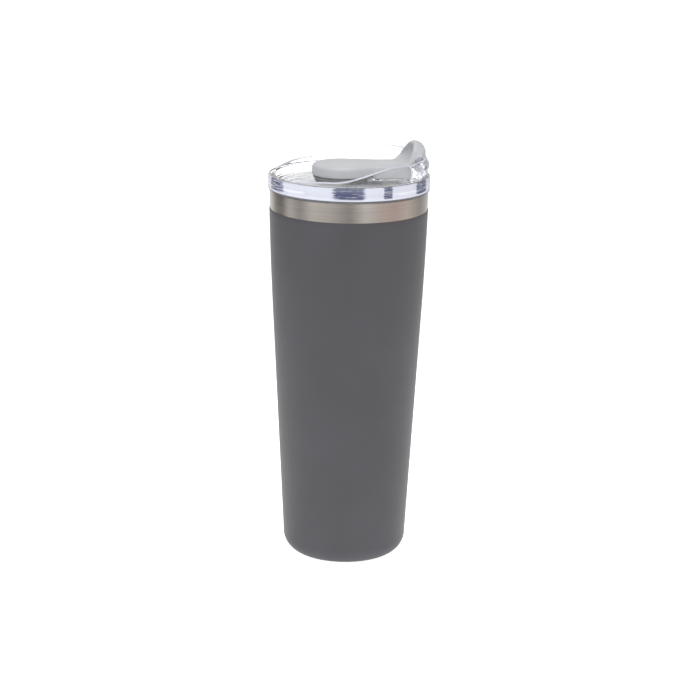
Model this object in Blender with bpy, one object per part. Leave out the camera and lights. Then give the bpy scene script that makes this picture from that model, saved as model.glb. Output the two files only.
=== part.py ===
"""Insulated drinking tumbler with a clear press-in lid and a flip closure.

A double-walled steel cup carries a clear lid. The lid holds a grey closure that flips up on a
steel pin, out of the gap between two raised wings of the lid's collar.
The origin is at the middle of the base. +Z is up, and +X points from the cup's axis to the hinge.
Lengths are written in millimetres and multiplied by MM.
"""

from math import acos, asin, cos, pi, radians, sin, sqrt

import bmesh
import bpy
from mathutils import Matrix, Vector

MM = 0.001

# ---- driving dimensions, in millimetres ----
BASE_RADIUS = 30.6           # the body's cone, carried down to z = 0
TAPER = 0.0525               # growth of the body's radius per millimetre of height
CURVE_START = 127.8          # above this height the side bends towards the vertical
CURVE_RATE = 0.000265
COAT_TOP = 177.8             # the coating stops here, and the bare steel band starts
LIP_Z = 187.3
WALL = 0.5                   # sheet thickness of both steel walls
COAT = 0.2                   # coating thickness
COAT_GAP = 0.1
SEAT_Z = 170.8               # the liner is straight above this height, where the lid's seal presses
SEAT_RADIUS = 36.4
WIDENING = 13.0              # height over which the liner widens to the seat
VACUUM_GAP = 3.0
FOOT_ARC = 9.0               # radius of the body's lower edge
FOOT_RING = 19.8             # inner radius of the ring the cup stands on

LID_RADIUS = 40.0
LID_BOTTOM = 187.6           # underside of the lid's rim
LID_TOP = 194.9              # top of the lid's rim
FLOOR_TOP = 190.9            # floor of the recess in the lid
FLOOR_THICKNESS = 2.0
RECESS_RADIUS = 36.2
SKIRT_RADIUS = 35.6
SKIRT_BOTTOM = 172.3
SKIRT_WALL = 2.4
GROOVE_Z = (176.2, 182.6)
GROOVE_RADIUS = 34.1

COLLAR_INNER = 36.9
COLLAR_OUTER = 38.6
COLLAR_HEIGHT = 9.2          # height of the wings above the lid's rim
LOW_LIP = 2.4                # height of the low lip that a wing runs out into
WING_START = 18.2            # degrees from the hinge, where a wing ends at the gap
WING_FALL = (65.0, 115.0)    # degrees from the hinge, where the wing falls to the low lip
LIP_FALL = (115.0, 162.0)    # degrees from the hinge, where the low lip falls to the rim
WING_SINK = 0.4              # how far the lip's low end dips into the rim

HINGE_X = 33.8
HINGE_Z = 200.2
PIN_RADIUS = 1.2
PIN_BORE = 1.3
EAR_Y = (11.5, 13.7)         # nearest and furthest face of each hinge ear from the middle

DISC_X = -3.5
DISC_RADIUS = 15.1
DISC_BOTTOM = 194.6
DISC_TOP = 200.4
NECK_HALF = 11.6
NECK_FILLET = 12.0
TAB_HALF = 10.9
TAB_REACH = 37.9             # distance of the tab's outer face from the cup's axis
TAB_TOP = 210.7
ARM_BOTTOM = 193.1
ARM_START = 2.0              # the arm's end inside the disc
KNUCKLE_RADIUS = 4.1

OPENING_RADIUS = 11.8        # the drinking opening in the lid's floor
PLUG_NOSE = 11.0             # radius of the part of the plug that enters the opening
PLUG_SEAT = (12.8, 14.7)     # radius of the plug at the lid's floor and under the disc
BOSS_RADIUS = 9.0            # the boss under the disc that holds the plug
BOSS_HEIGHT = 1.7
VENT_X = 14.5
VENT_RADIUS = 2.0
VENT_SOCKET = 1.5            # radius of the hole in the arm that holds the vent plug
SOCKET_TOP = 198.2
FIT = 0.3                    # gap between pieces that touch

TURN_STEPS = 48              # facets round a turned piece
ARC_STEPS = 4                # facets in a quarter-circle edge


# ---- outline tools ----
def body_radius(z):
    """Radius of the finished body at height z."""
    above = max(0.0, z - CURVE_START)
    return BASE_RADIUS + TAPER * z - CURVE_RATE * above**2


def steel_radius(z):
    """Outside radius of the outer steel wall."""
    return body_radius(z) - COAT - COAT_GAP


def liner_radius(z):
    """Inside radius of the liner: parallel to the body, and wider at the mouth for the lid."""
    start = SEAT_Z - WIDENING
    narrow = body_radius(min(z, start)) - COAT - COAT_GAP - 2 * WALL - VACUUM_GAP
    if z >= SEAT_Z:
        return SEAT_RADIUS + (z - SEAT_Z) * 0.036
    return narrow + (SEAT_RADIUS - narrow) * smooth((z - start) / WIDENING)


def smooth(share):
    """Eased 0 to 1."""
    share = min(1.0, max(0.0, share))
    return share * share * (3 - 2 * share)


def arc(centre_r, centre_z, radius, start, end, steps=ARC_STEPS):
    """Points along an arc, with angles in degrees from +r towards +z."""
    points = []
    for i in range(steps + 1):
        angle = radians(start + (end - start) * i / steps)
        points.append((centre_r + radius * cos(angle), centre_z + radius * sin(angle)))
    return points


def curve(radius_at, heights, offset=0.0):
    """Points (radius, z) that follow radius_at over the given heights."""
    return [(radius_at(z) + offset, z) for z in heights]


def bezier(p0, p1, p2, p3, steps):
    """Points along a cubic curve."""
    points = []
    for i in range(steps + 1):
        t = i / steps
        a, b, c, d = (1 - t) ** 3, 3 * t * (1 - t) ** 2, 3 * t * t * (1 - t), t**3
        points.append(tuple(a * p + b * q + c * r + d * s for p, q, r, s in zip(p0, p1, p2, p3)))
    return points


# ---- object tools ----
def material(name, colour, roughness, metallic=0.0, alpha=1.0):
    made = bpy.data.materials.new(name)
    made.use_nodes = True
    shader = made.node_tree.nodes["Principled BSDF"]
    shader.inputs["Base Color"].default_value = (*colour, 1.0)
    shader.inputs["Roughness"].default_value = roughness
    shader.inputs["Metallic"].default_value = metallic
    shader.inputs["Alpha"].default_value = alpha
    made.diffuse_color = (*colour, alpha)
    return made


def finish(bm, name, finish_material, cutter=False):
    """Makes an object from bm, with its faces pointing out."""
    bmesh.ops.remove_doubles(bm, verts=bm.verts, dist=1e-7)
    bmesh.ops.recalc_face_normals(bm, faces=bm.faces)
    mesh = bpy.data.meshes.new(name)
    bm.to_mesh(mesh)
    bm.free()
    obj = bpy.data.objects.new(name, mesh)
    bpy.context.scene.collection.objects.link(obj)
    if cutter:
        obj.hide_render = True
        obj.display_type = "WIRE"
    else:
        mesh.materials.append(finish_material)
        mesh.shade_smooth()
        mesh.set_sharp_from_angle(angle=radians(35))
    return obj


def turned(name, outline, finish_material=None, x=0.0, steps=TURN_STEPS, cutter=False):
    """A solid turned about a vertical axis at x. The outline is a closed loop of (radius, z)."""
    phase = 0.37 if cutter else 0.0  # keeps a cutter's corners off the facet lines it cuts
    bm = bmesh.new()
    rings = []
    for r, z in outline:
        if r < 1e-9:
            rings.append([bm.verts.new((x * MM, 0, z * MM))] * steps)
            continue
        ring = []
        for k in range(steps):
            angle = 2 * pi * (k + phase) / steps
            ring.append(bm.verts.new(((x + r * cos(angle)) * MM, r * sin(angle) * MM, z * MM)))
        rings.append(ring)
    for i, ring in enumerate(rings):
        other = rings[(i + 1) % len(rings)]
        if outline[i][0] < 1e-9 and outline[(i + 1) % len(outline)][0] < 1e-9:
            continue
        for k in range(steps):
            n = (k + 1) % steps
            corners = []
            for corner in (ring[k], ring[n], other[n], other[k]):
                if corner not in corners:
                    corners.append(corner)
            bm.faces.new(corners)
    return finish(bm, name, finish_material, cutter)


def extruded(name, outline, start, end, place, finish_material=None, cutter=False):
    """A prism: the outline (u, v) pushed from start to end, each point put in space by place."""
    bm = bmesh.new()
    low = [bm.verts.new(Vector(place(u, v, start)) * MM) for u, v in outline]
    high = [bm.verts.new(Vector(place(u, v, end)) * MM) for u, v in outline]
    bm.faces.new(low)
    bm.faces.new(high)
    for i in range(len(outline)):
        n = (i + 1) % len(outline)
        bm.faces.new((low[i], low[n], high[n], high[i]))
    return finish(bm, name, finish_material, cutter)


def side_view(u, v, w):
    """Outline drawn in the XZ plane and pushed along Y."""
    return (u, w, v)


def front_view(u, v, w):
    """Outline drawn in the YZ plane and pushed along X."""
    return (w, u, v)


def top_view(u, v, w):
    """Outline drawn in the XY plane and pushed along Z."""
    return (u, v, w)


def combine(obj, other, operation):
    """Adds a Boolean with the other object, which then counts as a helper."""
    modifier = obj.modifiers.new(f"{operation.lower()}_{other.name}", "BOOLEAN")
    modifier.operation = operation
    modifier.solver = "EXACT"
    modifier.object = other
    other.hide_render = True
    other.display_type = "WIRE"


def rod(name, x, z, y_from, y_to, radius, finish_material=None, steps=24, cutter=False):
    """A round bar along Y."""
    outline = arc(x, z, radius, 0, 360 * (steps - 1) / steps, steps - 1)
    return extruded(name, outline, y_from, y_to, side_view, finish_material, cutter)


# ---- the cup ----
def make_outer_wall(steel):
    """The outer wall: bare at the band, curled under at the foot to stand on a flat ring."""
    heights = (FOOT_ARC, CURVE_START, 145.0, 162.0, LIP_Z)
    centre = steel_radius(FOOT_ARC) - FOOT_ARC
    outline = curve(steel_radius, reversed(heights))
    outline += arc(centre, FOOT_ARC, FOOT_ARC, 0, -90)[1:]
    outline += [(FOOT_RING, 0.0), (FOOT_RING, 2.0), (FOOT_RING + WALL, 2.0)]
    outline += [(FOOT_RING + WALL, WALL)]
    outline += arc(centre, FOOT_ARC, FOOT_ARC - WALL, -90, 0)[:-1]
    outline += curve(steel_radius, heights, -WALL)
    return turned("outer_wall", outline, steel)


def make_powder_coat(paint):
    """The coating, from below the bare band to the lower edge. It leaves the foot ring bare."""
    heights = (FOOT_ARC, CURVE_START, 145.0, 162.0, COAT_TOP)
    centre = steel_radius(FOOT_ARC) - FOOT_ARC
    inner, outer = FOOT_ARC + COAT_GAP, FOOT_ARC + COAT_GAP + COAT
    outline = curve(body_radius, reversed(heights))
    outline += arc(centre, FOOT_ARC, outer, 0, -62)[1:]
    outline += arc(centre, FOOT_ARC, inner, -62, 0)[:-1]
    outline += curve(body_radius, heights, -COAT)
    return turned("powder_coat", outline, paint)


def make_inner_wall(steel):
    """The liner: a drawn cup whose top edge turns out to meet the outer wall at the lip."""
    floor_z, corner = 8.0, 6.0
    widening = [SEAT_Z - WIDENING * share for share in (1.0, 0.65, 0.35, 0.0)]
    heights = (floor_z + corner, CURVE_START, *widening, LIP_Z - 2.5)
    centre = liner_radius(floor_z + corner) - corner
    lip = steel_radius(LIP_Z) - WALL - FIT
    mouth = liner_radius(LIP_Z - 2.5)
    outline = [(0.0, floor_z)]
    outline += arc(centre, floor_z + corner, corner, -90, 0)[:-1]
    outline += curve(liner_radius, heights)
    outline += [(mouth, LIP_Z - 0.5), (mouth + 0.5, LIP_Z), (lip - 0.35, LIP_Z)]
    outline += [(lip, LIP_Z - 0.3), (lip, LIP_Z - 0.75), (mouth + WALL, LIP_Z - 0.75)]
    outline += curve(liner_radius, reversed(heights), WALL)
    outline += arc(centre, floor_z + corner, corner + WALL, 0, -90)[1:]
    outline += [(0.0, floor_z - WALL)]
    return turned("inner_wall", outline, steel)


def make_foil_wrap(foil):
    """The foil round the liner that reflects heat, in the vacuum space."""
    inside, outside = WALL + 0.3, WALL + 0.5
    heights = (15.0, CURVE_START, 154.0)
    outline = curve(liner_radius, heights, inside)
    outline += curve(liner_radius, reversed(heights), outside)
    return turned("foil_wrap", outline, foil)


def make_base(steel, glass):
    """The outer bottom with its evacuation port, the bead that seals it, and the cover below."""
    low, high = 2.3, 2.3 + WALL
    dimple = [(0.8, low + 1.3), (4.0, low + 1.3), (6.0, low)]
    rim = [(FOOT_RING + 2.0, low), (FOOT_RING + 2.0, high)]
    dimple_top = [(6.3, high), (4.2, high + 1.3), (0.8, high + 1.3)]
    turned("outer_bottom", dimple + rim + dimple_top, steel, steps=36)
    bead = [(0.0, 1.6), (1.8, 1.8), (2.7, 2.4), (2.4, 3.1), (0.0, 3.3)]
    turned("vacuum_seal", bead, glass, steps=20)
    edge = FOOT_RING - 0.3
    cover = [(0.0, 0.7), (edge - 1.7, 0.7), (edge - 0.7, 0.3), (edge, 0.3)]
    cover += [(edge, 0.8), (edge - 0.5, 0.8), (edge - 1.5, 1.2), (0.0, 1.2)]
    turned("base_cover", cover, steel, steps=36)


def make_getter(steel, getter):
    """The pellet that keeps the vacuum, and the strap that holds it down on the outer bottom."""
    x, radius = 12.5, 3.5
    turned("getter", [(0, 3.1), (radius, 3.1), (radius, 4.5), (0, 4.5)], getter, x=x, steps=20)
    half, foot, sheet = 4.0, 2.0, 0.3
    outline = [(-half - foot, 3.1), (-half, 3.1), (-half, 4.8), (half, 4.8), (half, 3.1)]
    outline += [(half + foot, 3.1), (half + foot, 3.1 + sheet), (half + sheet, 3.1 + sheet)]
    outline += [(half + sheet, 4.8 + sheet), (-half - sheet, 4.8 + sheet)]
    outline += [(-half - sheet, 3.1 + sheet), (-half - foot, 3.1 + sheet)]
    extruded("getter_clip", outline, x - 1.5, x + 1.5, front_view, steel)


# ---- the lid ----
def lid_outline():
    """Cross-section of the lid: floor, rim and the skirt with its groove for the seal."""
    floor_bottom = FLOOR_TOP - FLOOR_THICKNESS
    cove = 2.8
    edge = 1.0
    outline = [(0.0, floor_bottom), (SKIRT_RADIUS - SKIRT_WALL, floor_bottom)]
    outline += [(SKIRT_RADIUS - SKIRT_WALL, SKIRT_BOTTOM), (SKIRT_RADIUS - 0.6, SKIRT_BOTTOM)]
    outline += [(SKIRT_RADIUS, SKIRT_BOTTOM + 1.2), (SKIRT_RADIUS, GROOVE_Z[0])]
    outline += [(GROOVE_RADIUS, GROOVE_Z[0]), (GROOVE_RADIUS, GROOVE_Z[1])]
    outline += [(SKIRT_RADIUS, GROOVE_Z[1]), (SKIRT_RADIUS, LID_BOTTOM)]
    outline += [(LID_RADIUS - 0.6, LID_BOTTOM), (LID_RADIUS, LID_BOTTOM + 0.6)]
    outline += arc(LID_RADIUS - edge, LID_TOP - edge, edge, 0, 90, 3)
    outline += [(RECESS_RADIUS + 0.4, LID_TOP), (RECESS_RADIUS, LID_TOP - 0.4)]
    outline += arc(RECESS_RADIUS - cove, FLOOR_TOP + cove, cove, 0, -90, 3)
    outline += [(0.0, FLOOR_TOP)]
    return outline


def fall(degrees_from_hinge, stretch):
    """Falls from 1 to 0 in an S over a stretch of degrees from the hinge."""
    return smooth((stretch[1] - degrees_from_hinge) / (stretch[1] - stretch[0]))


def wing_top(degrees_from_hinge):
    """Height of a wing's top edge, which falls in two steps: to the low lip, and to the rim."""
    wing = (COLLAR_HEIGHT - LOW_LIP) * fall(degrees_from_hinge, WING_FALL)
    lip = (LOW_LIP + WING_SINK) * fall(degrees_from_hinge, LIP_FALL)
    return LID_TOP - WING_SINK + wing + lip


def make_wing(name, side):
    """One wing of the collar, a curved wall on the lid's rim. side is 1 or -1 along Y."""
    bm = bmesh.new()
    steps = 28
    foot = LID_TOP - 1.0
    slices = []
    for i in range(steps + 1):
        degrees = WING_START + (LIP_FALL[1] - WING_START) * i / steps
        turn = Matrix.Rotation(side * radians(degrees), 3, "Z")
        top = wing_top(degrees)
        edge = min(0.5, 0.4 * (top - foot))
        section = [(COLLAR_INNER, foot), (COLLAR_OUTER, foot), (COLLAR_OUTER, top - edge)]
        section += [(COLLAR_OUTER - 0.5, top), (COLLAR_INNER + 0.5, top), (COLLAR_INNER, top - edge)]
        slices.append([bm.verts.new(turn @ Vector((r, 0, z)) * MM) for r, z in section])
    for a, b in zip(slices, slices[1:]):
        for k in range(len(a)):
            n = (k + 1) % len(a)
            bm.faces.new((a[k], a[n], b[n], b[k]))
    bm.faces.new(slices[0])
    bm.faces.new(slices[-1])
    return finish(bm, name, None, cutter=True)


def make_ear(name, side):
    """One hinge ear, a plate that stands on the lid's floor behind the wing."""
    radius = 4.6
    foot = FLOOR_TOP - 1.0
    top = LID_TOP + COLLAR_HEIGHT - 0.2
    reach = sqrt(COLLAR_OUTER**2 - EAR_Y[1] ** 2) - 0.3
    corner = arc(HINGE_X - 0.6, top - radius, radius, 180, 90, 4)
    outline = [(HINGE_X - 0.6 - radius, foot)] + corner + [(reach, top), (reach, foot)]
    return extruded(name, outline, side * EAR_Y[0], side * EAR_Y[1], side_view, cutter=True)


def make_lid(clear):
    lid = turned("lid_body", lid_outline(), clear)
    for label, side in (("left", 1), ("right", -1)):
        combine(lid, make_wing(f"wing_{label}", side), "UNION")
        combine(lid, make_ear(f"ear_{label}", side), "UNION")
    low, high = FLOOR_TOP - 2 * FLOOR_THICKNESS, FLOOR_TOP + FLOOR_THICKNESS
    opening = [(0, low), (OPENING_RADIUS, low), (OPENING_RADIUS, high), (0, high)]
    combine(lid, turned("opening_cutter", opening, x=DISC_X, steps=32, cutter=True), "DIFFERENCE")
    vent = [(0, low), (VENT_RADIUS, low), (VENT_RADIUS, high), (0, high)]
    combine(lid, turned("vent_cutter", vent, x=VENT_X, steps=16, cutter=True), "DIFFERENCE")
    bore = rod("ear_bore_cutter", HINGE_X, HINGE_Z, -20, 20, PIN_BORE, cutter=True)
    combine(lid, bore, "DIFFERENCE")
    return lid


def make_lid_seal(silicone):
    """The ring in the lid's groove, with two lips that press on the liner."""
    base, lip = SKIRT_RADIUS - 0.1, 36.35
    low, high = GROOVE_Z[0] + 0.3, GROOVE_Z[1] - 0.3
    outline = [(GROOVE_RADIUS + 0.2, low), (base, low), (lip, low + 0.9), (lip, low + 1.5)]
    outline += [(base, low + 2.2), (base, low + 3.3), (lip, low + 4.2), (lip, low + 4.8)]
    outline += [(base, high), (GROOVE_RADIUS + 0.2, high)]
    return turned("lid_seal", outline, silicone)


# ---- the closure ----
def closure_edge():
    """One side of the closure seen from above: disc, fillet, neck and flare to the tab."""
    tangent = sqrt((DISC_RADIUS + NECK_FILLET) ** 2 - (NECK_HALF + NECK_FILLET) ** 2)
    lean = acos(tangent / (DISC_RADIUS + NECK_FILLET)) * 180 / pi
    fillet_x = DISC_X + tangent
    disc = arc(DISC_X, 0, DISC_RADIUS, 180, lean, 12)
    fillet = arc(fillet_x, NECK_HALF + NECK_FILLET, NECK_FILLET, 180 + lean, 270, 4)[1:]
    flare = []
    for i in range(1, 6):
        share = i / 5
        x = fillet_x + (HINGE_X - 6.5 - fillet_x) * share
        flare.append((x, NECK_HALF + (TAB_HALF - NECK_HALF) * smooth(share)))
    return disc + fillet + flare + [(HINGE_X - 2.0, TAB_HALF)]


def closure_plate(cutter):
    """The flat part of the closure, with a rounded shoulder, as rings that step in."""
    side = closure_edge()
    outline = side + [(x, -y) for x, y in reversed(side[1:])]
    middle = Vector((DISC_X, 0))
    bm = bmesh.new()
    shoulder = 2.4
    levels = [(DISC_BOTTOM, 0.0)]
    for i in range(4):
        angle = radians(90 * i / 3)
        levels.append((DISC_TOP - shoulder * (1 - sin(angle)), shoulder * (1 - cos(angle))))
    rings = []
    for z, inset in levels:
        ring = []
        for x, y in outline:
            shrink = 1 - inset / DISC_RADIUS
            along = middle.x + (x - middle.x) * shrink if x < DISC_X else x
            ring.append(bm.verts.new(Vector((along, y * shrink, z)) * MM))
        rings.append(ring)
    for a, b in zip(rings, rings[1:]):
        for k in range(len(a)):
            n = (k + 1) % len(a)
            bm.faces.new((a[k], a[n], b[n], b[k]))
    bm.faces.new(rings[0])
    bm.faces.new(rings[-1])
    return finish(bm, "flip_closure", cutter)


def tab_profile():
    """Side view of the arm, the knuckle round the pin and the thumb tab."""
    crest = 3.4
    root = DISC_TOP - 0.3
    inner_face = bezier((23.0, root), (28.4, DISC_TOP), (29.0, 207.0), (32.6, TAB_TOP - 0.2), 8)
    outline = [(ARM_START, root), (ARM_START, ARM_BOTTOM), (HINGE_X - 7.5, ARM_BOTTOM)]
    outline += arc(HINGE_X, HINGE_Z, KNUCKLE_RADIUS, -125, 0, 6)
    outline += [(TAB_REACH, HINGE_Z + 2.0)]
    outline += arc(TAB_REACH - crest, TAB_TOP - crest, crest, 0, 90, 4)
    return outline + list(reversed(inner_face))


def make_arm():
    """The arm and tab: the side view, trimmed to a round top, to the plan and to the rim's curve."""
    low, high = ARM_BOTTOM - 4.0, TAB_TOP + 4.0
    half = TAB_HALF - 0.08
    arm = extruded("arm_and_tab", tab_profile(), -half, half, side_view, cutter=True)
    arch_z = TAB_TOP - TAB_HALF
    arch = [(-TAB_HALF - 1, low), (-TAB_HALF - 1, arch_z - 3)]
    arch += arc(0, arch_z, half - 0.08, 180, 0, 14)
    arch += [(TAB_HALF + 1, arch_z - 3), (TAB_HALF + 1, low)]
    combine(arm, extruded("tab_arch", arch, 0, 45, front_view, cutter=True), "INTERSECT")
    side = closure_edge()[13:-1] + [(45.0, TAB_HALF + 0.05)]
    plan = [(ARM_START + 1.0, side[0][1])] + side
    plan += [(x, -y) for x, y in reversed(plan)]
    combine(arm, extruded("tab_plan", plan, low, high, top_view, cutter=True), "INTERSECT")
    drum = [(0, low), (TAB_REACH, low), (TAB_REACH, high), (0, high)]
    combine(arm, turned("tab_drum", drum, steps=TURN_STEPS * 2, cutter=True), "INTERSECT")
    room = PLUG_SEAT[1] + FIT
    clearance = [(0, low), (room, low), (room, DISC_BOTTOM + 0.4), (0, DISC_BOTTOM + 0.4)]
    combine(arm, turned("plug_clearance", clearance, x=DISC_X, cutter=True), "DIFFERENCE")
    return arm


def make_closure(grey):
    closure = closure_plate(grey)
    combine(closure, make_arm(), "UNION")
    foot, head = DISC_BOTTOM - BOSS_HEIGHT, DISC_TOP - 1.5
    boss = [(0, foot), (BOSS_RADIUS, foot), (BOSS_RADIUS, head), (0, head)]
    combine(closure, turned("seal_boss", boss, x=DISC_X, steps=24, cutter=True), "UNION")
    socket = [(0, FLOOR_TOP), (VENT_SOCKET, FLOOR_TOP), (VENT_SOCKET, SOCKET_TOP), (0, SOCKET_TOP)]
    combine(closure, turned("vent_socket", socket, x=VENT_X, steps=16, cutter=True), "DIFFERENCE")
    bore = rod("closure_bore_cutter", HINGE_X, HINGE_Z, -20, 20, PIN_BORE, cutter=True)
    combine(closure, bore, "DIFFERENCE")
    return closure


def make_closure_seals(silicone):
    """The plug for the drinking opening, and the small one for the vent."""
    nose, seat = FLOOR_TOP - 1.0, FLOOR_TOP + FIT
    top, pocket = DISC_BOTTOM - FIT, DISC_BOTTOM - BOSS_HEIGHT - FIT
    plug = [(0, nose), (PLUG_NOSE - 0.4, nose), (PLUG_NOSE, nose + 0.4), (PLUG_NOSE, seat)]
    plug += [(PLUG_SEAT[0], seat), (PLUG_SEAT[1], top), (BOSS_RADIUS + FIT, top)]
    plug += [(BOSS_RADIUS + FIT, pocket), (0, pocket)]
    turned("closure_seal", plug, silicone, x=DISC_X, steps=36)
    nose, collar, stem = 1.3, 2.6, VENT_SOCKET - FIT
    top = ARM_BOTTOM - FIT
    vent = [(0, seat - 0.6), (nose, seat - 0.6), (nose, seat), (collar, seat), (collar, top)]
    vent += [(stem, top), (stem, SOCKET_TOP - 0.4), (0, SOCKET_TOP - 0.4)]
    turned("vent_plug", vent, silicone, x=VENT_X, steps=16)


def main():
    for obj in list(bpy.data.objects):
        bpy.data.objects.remove(obj)
    steel = material("brushed_steel", (0.62, 0.59, 0.55), 0.28, 1.0)
    dark_coat = material("charcoal_powder_coat", (0.085, 0.083, 0.095), 0.5)
    foil = material("copper_foil", (0.80, 0.45, 0.30), 0.25, 1.0)
    glass = material("sealing_glass", (0.25, 0.35, 0.30), 0.2)
    getter = material("getter_alloy", (0.20, 0.20, 0.21), 0.7, 0.6)
    clear = material("clear_plastic", (0.90, 0.93, 0.97), 0.05, alpha=0.35)
    grey = material("grey_plastic", (0.56, 0.57, 0.59), 0.42)
    silicone = material("dark_silicone", (0.22, 0.22, 0.23), 0.6)
    pale_silicone = material("pale_silicone", (0.75, 0.76, 0.77), 0.5, alpha=0.8)

    make_outer_wall(steel)
    make_powder_coat(dark_coat)
    make_inner_wall(steel)
    make_foil_wrap(foil)
    make_base(steel, glass)
    make_getter(steel, getter)
    make_lid(clear)
    make_lid_seal(pale_silicone)
    make_closure(grey)
    make_closure_seals(silicone)
    rod("hinge_pin", HINGE_X, HINGE_Z, -EAR_Y[1] + 0.2, EAR_Y[1] - 0.2, PIN_RADIUS, steel)


main()
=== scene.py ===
"""Looks of the insulated tumbler: its visual pieces, materials, studio lights and camera.

The shapes follow the CAD frame, whose origin is at the middle of the base with +X towards the hinge.
Its lengths are in millimetres here, and are multiplied by MM when a mesh is made. The camera, the
lights and the floor are placed in metres.
"""

from math import cos, pi, radians, sin, sqrt

import bmesh
import bpy
import numpy as np
from mathutils import Matrix, Vector


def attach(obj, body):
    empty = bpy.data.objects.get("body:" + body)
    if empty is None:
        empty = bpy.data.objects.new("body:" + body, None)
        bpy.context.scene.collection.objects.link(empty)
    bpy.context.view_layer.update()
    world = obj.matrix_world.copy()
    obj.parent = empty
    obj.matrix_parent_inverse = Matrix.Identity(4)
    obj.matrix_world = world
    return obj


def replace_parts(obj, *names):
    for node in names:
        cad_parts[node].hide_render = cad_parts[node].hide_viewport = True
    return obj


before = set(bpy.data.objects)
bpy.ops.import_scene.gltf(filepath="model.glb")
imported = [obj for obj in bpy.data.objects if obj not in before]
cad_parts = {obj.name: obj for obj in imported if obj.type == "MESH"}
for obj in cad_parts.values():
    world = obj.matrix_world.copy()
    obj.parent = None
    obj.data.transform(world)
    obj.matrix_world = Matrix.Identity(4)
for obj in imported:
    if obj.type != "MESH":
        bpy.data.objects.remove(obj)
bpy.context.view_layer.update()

MM = 0.001
ON_AXIS = 1e-6               # a radius below this is on the axis
NEARLY_STRAIGHT = 86         # half of a corner's angle in degrees, above which it isn't rounded
ROUNDING_STEPS = 4

# ---- the cup's sizes in millimetres, most of them shared with the CAD ----
BASE_RADIUS = 30.6           # the body's cone, carried down to z = 0
TAPER = 0.0525               # growth of the body's radius per millimetre of height
CURVE_START = 127.8          # above this height the side bends towards the vertical
CURVE_RATE = 0.000265
COAT_TOP = 177.8             # the coating stops here, and the bare steel band starts
COAT_STEP = 0.3              # from the coating's outside to the steel wall's
LINER_STEP = 4.3             # from the coating's outside to the liner's inside
LIP_Z = 187.3
WALL = 0.5                   # sheet thickness of both steel walls
FOOT_ARC = 9.0               # radius of the body's lower edge
FOOT_RING = 19.8             # inner radius of the ring the cup stands on
SEAT_Z = 170.8               # the liner is nearly straight above this height, for the lid's seal
SEAT_RADIUS = 36.4
SEAT_DRAFT = 0.036           # growth of the seat's radius per millimetre of height
WIDENING = 13.0              # height over which the liner widens to the seat

# ---- the lid's sizes ----
LID_RADIUS = 40.0
LID_BOTTOM = 187.6           # underside of the rim
LID_TOP = 194.9              # top of the rim
FLOOR_TOP = 190.9            # floor of the recess
FLOOR_BOTTOM = 188.9
PANEL_DEPTH = 0.35           # depth of the panel sunk into the floor
RECESS_RADIUS = 36.2
SKIRT_RADIUS = 35.6
SKIRT_INNER = 33.2
SKIRT_BOTTOM = 172.3
GROOVE_Z = (176.2, 182.6)
GROOVE_RADIUS = 34.1
SEAL_LIP = 36.35             # outer radius of the seal's lips
COLLAR_INNER = 36.9
COLLAR_OUTER = 38.6
COLLAR_DRAFT = 0.15
COLLAR_HEIGHT = 9.2          # height of the wings above the rim
LOW_LIP = 2.4                # height of the low lip that a wing runs out into
WING_START = 18.2            # degrees from the hinge, where a wing ends at the gap
WING_ROUNDING = 2.0          # degrees over which a wing's end is rounded
WING_FALL = (65.0, 115.0)    # degrees from the hinge, where the wing falls to the low lip
LIP_FALL = (115.0, 162.0)    # degrees from the hinge, where the low lip falls to the rim
OPENING_RADIUS = 11.8        # the drinking opening
VENT_RADIUS = 2.0
CUTTER_NUDGE = 0.013         # keeps a cutter's corners off the lid's own edges

# ---- the hinge's and the closure's sizes ----
HINGE_X = 33.8
HINGE_Z = 200.2
PIN_RADIUS = 1.2
PIN_BORE = 1.35              # a little more than the CAD's 1.3
EAR_Y = (11.5, 13.7)         # nearest and furthest face of each hinge ear from the middle
EAR_ROUND = 4.6
KNUCKLE_RADIUS = 4.1
DISC_X = -3.5
DISC_RADIUS = 15.1
DISC_BOTTOM = 194.6
DISC_TOP = 200.4
ARM_BOTTOM = 193.1
ARM_HALF = 11.6              # the arm's half width by the disc
ARM_NARROWING = 0.7          # what the arm's half width loses on the way to the tab
TAB_HALF = 10.9
TAB_REACH = 37.9             # distance of the tab's outer face from the cup's axis
TAB_TOP = 210.7
TAB_LEAN = 0.48              # how far the tab's inner face leans out per millimetre of height
SCOOP_HALF = 9.8
SCOOP_DEPTH = 4.6
BOSS_RADIUS = 9.0            # the boss under the disc that holds the plug
BOSS_HEIGHT = 1.7
PLUG_NOSE = 11.0             # radius of the part of the plug that enters the opening
PLUG_SEAT = (12.8, 14.7)     # radius of the plug at the lid's floor and under the disc
VENT_X = 14.5
VENT_SOCKET = 1.5            # radius of the hole in the arm that holds the vent plug
SOCKET_TOP = 198.2
CLOSURE_BOX = ((-19.9, -16.4, DISC_BOTTOM - 3.1), (39.2, 16.4, TAB_TOP + 0.8))    # leaves room round it

# ---- the clear plastic's tones ----
WALL_FADE = (LID_RADIUS - 0.8, LID_RADIUS - 0.55)    # radii over which the rim's wall lights up
DARK_CLOUD_X = (29.0, 31.5)       # the collar's ends get dark blue clouds over this stretch of X

# painted reflections on the lit rim, set round the camera's view: azimuth in degrees to the right of the
# camera, half width in degrees, and darkness
PAINTED_RIM_REFLECTIONS = (
    (-140, 8, 0.9),
    (-100, 6, 0.8),
    (-62, 12, 0.8),
    (0, 13, 1.0),
    (28, 4, 0.9),
    (62, 9, 1.0),
    (104, 8, 0.9),
    (150, 6, 0.8),
)

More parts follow.
